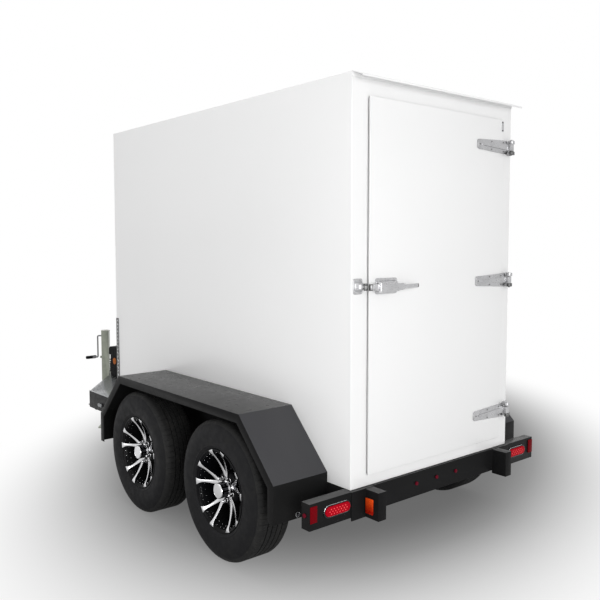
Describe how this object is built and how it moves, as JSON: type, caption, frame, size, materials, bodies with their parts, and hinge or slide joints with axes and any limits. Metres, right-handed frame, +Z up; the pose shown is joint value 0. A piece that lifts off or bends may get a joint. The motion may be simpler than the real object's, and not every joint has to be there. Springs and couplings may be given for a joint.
{
  "type": "tandem-axle insulated box trailer",
  "caption": "White insulated box trailer on a black tandem-axle frame, with a swinging rear door, fenders, spoked wheels, A-frame tongue and a drop-leg jack.",
  "frame": {"origin": "on the ground, on the centreline, midway between the rear brackets and the coupler's nose", "axes": "+X forward towards the coupler, +Y to the trailer's left, +Z up"},
  "size_m": [4.1, 1.872, 2.38],
  "materials": {
    "white_panel": "white gel-coated fibreglass, semi-gloss",
    "floor_panel": "grey sealed floor",
    "white_sheet": "white powder coat",
    "black_paint": "satin black powder coat",
    "tread_plate": "bright raised-pattern plate",
    "galvanised": "bright zinc",
    "polished_steel": "polished",
    "chrome": "bright",
    "zinc": "greenish zinc plate",
    "red_lens": "clear red moulding",
    "clear_lens": "clear moulding",
    "black_plastic": "moulded grain",
    "grey_rubber": "soft seal",
    "tyre": "matt black",
    "rim": "gloss black with machined spoke faces",
    "hub": "bright cap, dark drum"
  },
  "bodies": {
    "chassis": {"axle_beams": "black_paint", "battery_box": "black_plastic", "battery_lid": "black_plastic", "box_floor": "floor_panel", "cooling_grille": "black_plastic", "cooling_unit": "white_sheet", "coupler": "black_paint", "crank_grip": "black_plastic", "crossmembers": "black_paint", "deck_plate": "tread_plate", "drip_lip": "white_sheet", "fender_left": "black_paint", "fender_right": "black_paint", "frame_rails": "black_paint", "hinge_flanges": "galvanised", "jack_crank": "zinc", "jack_tube": "zinc", "lamp_bezels": "chrome", "latch_strike": "galvanised", "light_bar": "black_paint", "rear_frame": "white_panel", "red_markers": "red_lens", "roof": "white_panel", "side_markers": "clear_lens", "stone_guard": "tread_plate", "tail_lenses": "red_lens", "tongue_beam": "black_paint", "tongue_rails": "black_paint", "torsion_arms": "black_paint", "wall_front": "white_panel", "wall_left": "white_panel", "wall_right": "white_panel"},
    "door": {"door_panel": "white_panel", "door_gasket": "grey_rubber", "hinge_straps": "galvanised", "latch_body": "polished_steel", "latch_handle": "polished_steel"},
    "jack_leg": {"jack_leg": "zinc"},
    "wheel_rear_left": {"tyre_rear_left": "tyre", "rim_rear_left": "rim", "hub_rear_left": "hub"},
    "wheel_rear_right": {"tyre_rear_right": "tyre", "rim_rear_right": "rim", "hub_rear_right": "hub"},
    "wheel_front_left": {"tyre_front_left": "tyre", "rim_front_left": "rim", "hub_front_left": "hub"},
    "wheel_front_right": {"tyre_front_right": "tyre", "rim_front_right": "rim", "hub_front_right": "hub"}
  },
  "joints": [
    {"name": "door_hinge", "type": "hinge", "parent": "chassis", "child": "door", "pos_m": [-1.99, -0.56, 1.38], "axis": [0, 0, 1], "range_deg": [0, 170]},
    {"name": "jack_slide", "type": "slide", "parent": "chassis", "child": "jack_leg", "axis": [0, 0, 1], "range_m": [0, 0.29]},
    {"name": "rear_left_wheel", "type": "hinge", "parent": "chassis", "child": "wheel_rear_left", "pos_m": [-1.303, 0.817, 0.359], "axis": [0, 1, 0], "continuous": true},
    {"name": "rear_right_wheel", "type": "hinge", "parent": "chassis", "child": "wheel_rear_right", "pos_m": [-1.303, -0.817, 0.359], "axis": [0, 1, 0], "continuous": true},
    {"name": "front_left_wheel", "type": "hinge", "parent": "chassis", "child": "wheel_front_left", "pos_m": [-0.426, 0.817, 0.359], "axis": [0, 1, 0], "continuous": true},
    {"name": "front_right_wheel", "type": "hinge", "parent": "chassis", "child": "wheel_front_right", "pos_m": [-0.426, -0.817, 0.359], "axis": [0, 1, 0], "continuous": true}
  ]
}
